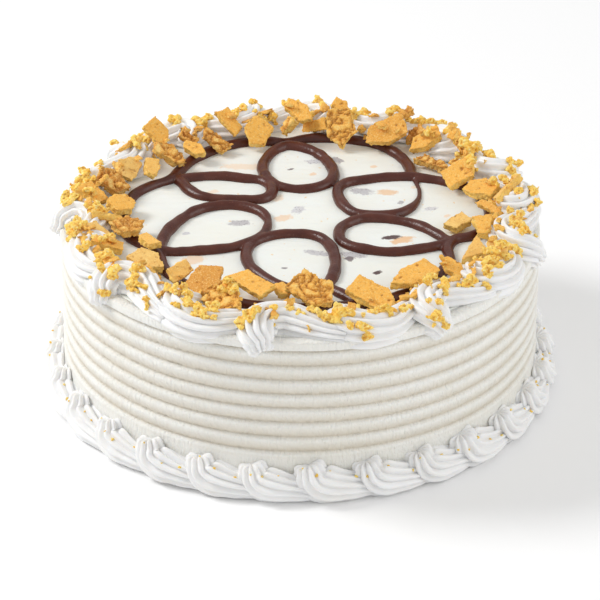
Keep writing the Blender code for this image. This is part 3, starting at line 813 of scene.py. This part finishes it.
class CAKE_OT_foot_shells(bpy.types.Operator):
    """The border of piped shells round the foot"""

    bl_idname = "cake.foot_shells"
    bl_label = "Foot Shells"

    def execute(self, context):
        draw = random.Random("shells")
        bm = bmesh.new()
        for index in range(SHELLS):
            shift = draw.uniform(-SHELL_ANGLE_SHIFT, SHELL_ANGLE_SHIFT)
            angle = FIRST_SHELL_ANGLE + index * 360 / SHELLS + shift
            size = draw.uniform(*SHELL_SIZES)
            route = [(along, distance, height * size, radius * size)
                     for along, distance, height, radius in SHELL]
            route = rim_route(route, angle, 0, RIM_RADIUS * MM / COAT_RADIUS, 4)
            star = Star(12, 0.3, 0.5, turn=0.1 * (index % 3))
            pipe_icing(
                bm, route, star, columns=84, head_rows=7, tail_rows=3, cap=1.6 * MM, tip=2 * MM,
                face=around(angle, 1, 0), hold=1.2,
            )
        closed_shape(bm)
        piece = new_piece("foot_shells", bm, shared(piped_icing), ["foot_border"])
        soften(piece.data, 20, 0.2 * MM)
        points = positions(piece.data)
        points[:, 2] = np.maximum(points[:, 2], 0.05 * MM)
        move_to(piece.data, points)
        return {"FINISHED"}


def swag_routes(per_span):
    """The routes of the rope round the top, arch and swag by turns."""
    top = CAKE_TOP / MM
    draw = random.Random("swags")
    for index, angle in enumerate(ARCH_ANGLES):
        following = ARCH_ANGLES[(index + 1) % len(ARCH_ANGLES)]
        spacing = (following - angle) % 360
        stretch = math.radians(spacing) * RIM_RADIUS / PAIR_LENGTH
        for kind, route, middle in (("arch", ARCH, angle), ("swag", SWAG, angle + spacing / 2)):
            rise = top + draw.uniform(-ROPE_RISE, ROPE_RISE)
            yield kind, rim_route(route, middle, rise, stretch, per_span)


class CAKE_OT_top_swags(bpy.types.Operator):
    """The swagged rope round the top edge"""

    bl_idname = "cake.top_swags"
    bl_label = "Top Swags"

    def execute(self, context):
        bm = bmesh.new()
        for index, (kind, route) in enumerate(swag_routes(6)):
            if kind == "arch":
                star = Star(13, 0.3, 0.5, turn=0.12 * (index % 4))
                pipe_icing(
                    bm, route, star, columns=91, head_rows=9, tail_rows=5, cap=2 * MM, tip=2.2 * MM,
                )
            else:
                star = Star(12, 0.3, 0.5, turn=0.2 * (index % 3))
                pipe_icing(
                    bm, route, star, columns=84, head_rows=9, tail_rows=5, cap=3 * MM, tip=1.4 * MM,
                )
        closed_shape(bm)
        piece = new_piece("top_swags", bm, shared(piped_icing), ["top_border"])
        soften(piece.data, 30, 0.16 * MM)
        return {"FINISHED"}


def fuse(piece, voxel, rounds):
    """Melts the shapes of a piece into one skin, smoothed in that many rounds."""
    remesh = piece.modifiers.new("Fuse", "REMESH")
    remesh.mode = "VOXEL"
    remesh.voxel_size = voxel
    if rounds:
        smooth = piece.modifiers.new("Soften", "SMOOTH")
        smooth.factor = 0.5
        smooth.iterations = rounds
    bpy.context.view_layer.update()
    graph = bpy.context.evaluated_depsgraph_get()
    mesh = bpy.data.meshes.new_from_object(piece.evaluated_get(graph))
    mesh.name = piece.name
    piece.modifiers.clear()
    piece.data = mesh
    mesh.shade_smooth()


def fudge_line(bm, route, closed, width, seed):
    """A line of fudge with a round back and a flat underside, uneven in width."""
    points = np.array([(x, y, thin[0] if thin else 1) for x, y, *thin in route], float)
    fine = smooth_route(points, 10, closed)
    places = np.column_stack((fine[:, :2] * MM, np.full(len(fine), CAKE_TOP)))
    if closed:
        ahead = np.roll(places, -1, axis=0) - np.roll(places, 1, axis=0)
    else:
        ahead = np.gradient(places, axis=0)
    ahead /= np.linalg.norm(ahead, axis=1)[:, None]
    side = np.cross(ahead, (0, 0, 1))
    swell = 1 + 0.08 * waves(places, 22 * MM, seed) + 0.05 * waves(places, 8 * MM, seed + 1)
    half = width / 2 * fine[:, 2] * swell
    count = len(places)
    rows = count if closed else count - 1
    columns = 18

    def place(column, row):
        angles = TAU * column / columns
        station = row % count if closed else row
        across = np.cos(angles) * half[station]
        rise = np.where(np.sin(angles) > 0, 1.12, 0.25) * np.sin(angles) * half[station]
        if not closed:
            ends = np.where((row == 0) | (row == rows), 0, 1)
            across, rise = across * ends, rise * ends
        spots = places[station] + side[station] * across[:, None]
        spots[:, 2] += rise
        return spots

    bent_grid(bm, columns, rows, place)


class CAKE_OT_fudge(bpy.types.Operator):
    """The flower of fudge on the ice cream"""

    bl_idname = "cake.fudge"
    bl_label = "Fudge Flower"

    def execute(self, context):
        bm = bmesh.new()
        width = settings().fudge_width
        for index, route in enumerate(FUDGE_LOOPS):
            fudge_line(bm, route, True, width, 40 + index)
        fudge_line(bm, FRONT_TAIL, False, width, 50)
        closed_shape(bm)
        piece = new_piece("fudge_lines", bm, dark_fudge(), ["fudge_flower"])
        fuse(piece, 0.62 * MM, 4)
        return {"FINISHED"}


class CAKE_OT_cookies(bpy.types.Operator):
    """The broken cookies, each in the place of its plain solid"""

    bl_idname = "cake.cookies"
    bl_label = "Broken Cookies"

    def execute(self, context):
        material = shared(golden_cookie)
        for name in COOKIE_NODES:
            solid = frame["nodes"][name]
            bm = bmesh.new()
            bm.from_mesh(solid.data)
            bmesh.ops.remove_doubles(bm, verts=bm.verts, dist=WELD)
            bmesh.ops.dissolve_limit(bm, angle_limit=0.02, verts=bm.verts, edges=bm.edges)
            face = max(bm.faces, key=lambda item: item.calc_area())
            flat = np.array(face.normal)
            label = name.replace("cookie_piece", "broken_cookie")
            piece = new_piece(label, bm, material, [name])
            fuse(piece, 0.48 * MM, 0)
            number = int(name[-2:])
            toast, pale = TOASTED.get(number, 0), PALE.get(number, 0)
            roughen_cookie(piece.data, flat, number, number in CRAGGY, toast, pale)
        return {"FINISHED"}


def roughen_cookie(mesh, flat, seed, craggy, toast, pale):
    """Ragged broken edges, small pits in the faces and, on a craggy piece, creases in them, with
    the painted shade of the pits and creases and the painted highlights of the crests stored for
    the material.
    """
    points, out = positions(mesh), directions_out(mesh)
    swerve = np.column_stack([waves(points, 17 * MM, 60 * seed + axis, 5) for axis in range(3)])
    swerve -= (swerve @ flat)[:, None] * flat
    points += swerve * 0.8 * MM
    facing = np.abs(out @ flat)
    broken = np.clip((0.92 - facing) / 0.3, 0, 1)
    shifted = points + seed * 0.05
    ragged, coarse = noise_at(shifted, 1.7 * MM), noise_at(shifted, 4.5 * MM)
    pits = np.clip(noise_at(shifted[:, ::-1], 1.9 * MM) - 0.43, 0, 1)
    depth = -broken * (0.35 + 0.9 * ragged + 1.5 * coarse)
    depth -= (1 - broken) * (2.2 * pits - 0.12 * ragged)
    # Painted shade in the pits of the faces
    hollow = np.clip(3 * pits, 0, 1) * (1 - broken)
    # Painted highlights on the crests of the broken edges
    crest = 0.7 * np.clip(3 * ragged, 0, 1) * broken
    if craggy:
        creases = np.abs(coarse) + 0.5 * np.abs(ragged)
        cut = np.clip(0.42 - creases, 0, 0.42) * (1 - 0.6 * broken)
        depth -= 4.4 * cut - 0.4 * (1 - broken)
        # Painted shade in the creases
        hollow = np.maximum(hollow, np.clip(3 * cut, 0, 1))
        # Painted highlights on the ridges between the creases
        crest = np.maximum(crest, 0.8 * np.clip(3 * (creases - 0.5), 0, 1))
    move_to(mesh, points + out * (np.clip(depth, -2, 0.45) * MM)[:, None])
    even = np.ones(len(points))
    for name, values in (
        ("broken", broken), ("hollow", 0.7 * hollow), ("crest", crest), ("toast", toast * even),
        ("pale", pale * even),
    ):
        store(mesh, name, values)


def granule(bm, place, size, draw):
    """One rough grain of cookie."""
    made = bmesh.ops.create_icosphere(bm, subdivisions=2, radius=size)["verts"]
    shift = Vector((draw.uniform(0, 50), draw.uniform(0, 50), draw.uniform(0, 50)))
    for vertex in made:
        vertex.co *= 1 + 0.9 * noise.noise(vertex.co * 1.5 / size + shift)
    sizes = draw.uniform(0.8, 1.4), draw.uniform(0.7, 1.1), draw.uniform(0.6, 1)
    shape = Matrix.Diagonal((*sizes, 1))
    turn = Matrix.Rotation(draw.uniform(0, TAU), 4, "Z")
    turn = turn @ Matrix.Rotation(draw.uniform(0, TAU), 4, "X")
    bmesh.ops.transform(bm, matrix=Matrix.Translation(place) @ turn @ shape, verts=made)


def chip(bm, place, size, draw):
    """One small flat piece of cookie, broken on all sides."""
    made = bmesh.ops.create_cone(
        bm, cap_ends=True, segments=draw.choice((4, 5)), radius1=size, radius2=0.85 * size,
        depth=0.6 * size,
    )["verts"]
    for vertex in made:
        vertex.co *= draw.uniform(0.65, 1.3)
    shape = Matrix.Diagonal((draw.uniform(1, 1.5), draw.uniform(0.7, 1), 1, 1))
    lean = Matrix.Rotation(draw.gauss(0, 0.5), 4, "X")
    lean = lean @ Matrix.Rotation(draw.gauss(0, 0.5), 4, "Y")
    turn = Matrix.Rotation(draw.uniform(0, TAU), 4, "Z")
    bmesh.ops.transform(bm, matrix=Matrix.Translation(place) @ lean @ turn @ shape, verts=made)


def surface_under(names):
    """A tree of all faces of the pieces, to drop crumbs on."""
    corners, faces = [], []
    for name in names:
        mesh = bpy.data.objects[name].data
        first = len(corners)
        corners.extend(vertex.co.copy() for vertex in mesh.vertices)
        faces.extend([first + index for index in polygon.vertices] for polygon in mesh.polygons)
    return BVHTree.FromPolygons(corners, faces)


def scatter(name, material, count, belt, drop, under, lowest):
    """Drops count clumps over a belt of the pieces under it, as one piece.

    drop(bm, landing, draw) makes one clump, and landing() finds a place for it, between the
    lowest height and the one that leaves room for it inside the cake's box.
    """
    draw = random.Random(name)
    ground = surface_under(under)
    highest = BUILT_BOX[1][2] - ROOM_FOR_CRUMBS

    def landing(angle, distance, aside=(0, 0)):
        start = around(angle, distance, 2 * CAKE_TOP) + Vector((*aside, 0))
        spot = ground.ray_cast(start, Vector((0, 0, -1)))[0]
        return spot if spot and lowest < spot.z < highest else None

    whole, clump = bmesh.new(), bpy.data.meshes.new("clump")
    for index in range(count):
        angle = (index + draw.uniform(-0.5, 0.5)) * 360 / count
        distance = draw.triangular(*belt) * MM
        bm = bmesh.new()
        drop(bm, lambda aside=(0, 0): landing(angle, distance, aside), draw)
        bm.to_mesh(clump)
        bm.free()
        whole.from_mesh(clump)
    bmesh.ops.recalc_face_normals(whole, faces=whole.faces)
    bpy.data.meshes.remove(clump)
    return new_piece(name, whole, material)


def crumble(mesh):
    """Breaks up the skin of crumbs, with small hollows, and stores the painted shade in them."""
    points, out = positions(mesh), directions_out(mesh)
    fine, coarse = noise_at(points, 1.1 * MM), noise_at(points, 2.6 * MM)
    depth = 0.45 * fine + 0.8 * coarse - 1.6 * np.clip(-fine - 0.2, 0, 1)
    # Painted shade where the skin dents in
    store(mesh, "hollow", np.clip(-1.6 * fine - 0.9 * coarse, 0, 0.8))
    move_to(mesh, points + out * (np.clip(depth, -1, 0.5) * MM)[:, None])


def drop_clump(bm, landing, draw):
    """Grains stuck together as one long lump."""
    grains = draw.choice((1, 2, 4, 6, 8, 10))
    spread = 0.8 * MM * math.sqrt(grains)
    heading = draw.uniform(0, TAU)
    along = Vector((math.cos(heading), math.sin(heading)))
    for _ in range(grains):
        far, off = draw.gauss(0, 1.25 * spread), draw.gauss(0, 0.6 * spread)
        spot = landing((far * along.x - off * along.y, far * along.y + off * along.x))
        if spot:
            size = draw.uniform(1.1, 2.7) * MM
            lift = draw.uniform(0, 1) * size * min(1, grains / 4)
            granule(bm, spot + Vector((0, 0, lift)), size, draw)


def drop_chip(bm, landing, draw):
    spot = landing()
    if spot:
        size = draw.uniform(1.6, 3.8) * MM
        chip(bm, spot + Vector((0, 0, 0.3 * size)), size, draw)


def drop_speck(bm, landing, draw):
    spot = landing()
    if spot:
        granule(bm, spot, draw.uniform(0.5, 0.95) * MM, draw)


class CAKE_OT_crumbs(bpy.types.Operator):
    """Clumps of cookie crumb and small chips of cookie on the borders"""

    bl_idname = "cake.crumbs"
    bl_label = "Cookie Crumbs"

    def execute(self, context):
        chosen = settings()
        names = [found.name for found in bpy.data.objects]
        border = ["top_swags", *(name for name in names if name.startswith("broken_cookie"))]
        clumps = scatter(
            "crumb_clumps", shared(cookie_crumb), chosen.crumb_clumps, CLUMP_BELT, drop_clump,
            border, LOWEST_CRUMB,
        )
        fuse(clumps, 0.57 * MM, 0)
        crumble(clumps.data)
        scatter(
            "shell_specks", shared(cookie_crumb), chosen.shell_specks, SPECK_BELT, drop_speck,
            ["foot_shells"], LOWEST_SPECK,
        )
        chips = scatter(
            "cookie_chips", shared(golden_cookie), chosen.cookie_chips, CHIP_BELT, drop_chip,
            border, LOWEST_CRUMB,
        )
        fuse(chips, 0.45 * MM, 0)
        browned = np.clip(0.2 + 0.4 * waves(positions(chips.data), 12 * MM, 7), 0, 0.7)
        roughen_cookie(chips.data, np.array((0, 0, 1)), 0, False, browned, 0)
        return {"FINISHED"}


class CAKE_OT_stage(bpy.types.Operator):
    """The floor, the soft lights and the camera"""

    bl_idname = "cake.stage"
    bl_label = "Stage"

    def execute(self, context):
        bm = bmesh.new()
        bmesh.ops.create_grid(bm, x_segments=1, y_segments=1, size=12)
        mesh = bpy.data.meshes.new("floor")
        bm.to_mesh(mesh)
        bm.free()
        material, _, shader, _ = start_material("pale_floor", 0.9)
        shader.inputs["Base Color"].default_value = (*linear("#FCFCFC"), 1)
        shader.inputs["Specular IOR Level"].default_value = 0.1
        mesh.materials.append(material)
        floor = bpy.data.objects.new("floor", mesh)
        context.scene.collection.objects.link(floor)
        world = bpy.data.worlds.new("studio")
        world.use_nodes = True
        sky = world.node_tree.nodes["Background"]
        sky.inputs["Color"].default_value = (1, 1, 1, 1)
        sky.inputs["Strength"].default_value = SKY_STRENGTH
        context.scene.world = world
        for name, place, size, power in LIGHTS:
            data = bpy.data.lights.new(name, "AREA")
            data.shape = "DISK"
            data.size = size
            data.energy = power
            light = bpy.data.objects.new(name, data)
            light.location = place
            aim = Vector((0, 0, 0.05)) - light.location
            light.rotation_euler = aim.to_track_quat("-Z", "Y").to_euler()
            context.scene.collection.objects.link(light)
        data = bpy.data.cameras.new("camera")
        data.lens = CAMERA_LENS
        data.sensor_width = CAMERA_SENSOR
        data.clip_end = 50
        camera = bpy.data.objects.new("camera", data)
        slope = math.radians(CAMERA_ELEVATION)
        target = Vector((0, 0, CAMERA_TARGET))
        away = Vector((0, -math.cos(slope), math.sin(slope))) * CAMERA_DISTANCE
        camera.location = target + away
        camera.rotation_euler = (-away).to_track_quat("-Z", "Y").to_euler()
        context.scene.collection.objects.link(camera)
        context.scene.camera = camera
        context.scene.view_settings.view_transform = "Standard"
        return {"FINISHED"}


class CAKE_PT_panel(bpy.types.Panel):
    """Sizes, colours and the steps of the cake"""

    bl_label = "Ice Cream Cake"
    bl_space_type = "VIEW_3D"
    bl_region_type = "UI"
    bl_category = "Cake"

    def draw(self, context):
        for name in CakeSettings.__annotations__:
            self.layout.prop(context.scene.cake_settings, name)
        for step in STEPS:
            self.layout.operator(step.bl_idname)


STEPS = (
    CAKE_OT_stage, CAKE_OT_ice_cream, CAKE_OT_combed_icing, CAKE_OT_foot_shells,
    CAKE_OT_top_swags, CAKE_OT_fudge, CAKE_OT_cookies, CAKE_OT_crumbs,
)


def register():
    for made in (CakeSettings, *STEPS, CAKE_PT_panel):
        bpy.utils.register_class(made)
    bpy.types.Scene.cake_settings = bpy.props.PointerProperty(type=CakeSettings)


def unregister():
    del bpy.types.Scene.cake_settings
    for made in reversed((CakeSettings, *STEPS, CAKE_PT_panel)):
        bpy.utils.unregister_class(made)


def main():
    register()
    for step in STEPS:
        group, name = step.bl_idname.split(".")
        getattr(getattr(bpy.ops, group), name)()


if __name__ == "__main__":
    main()
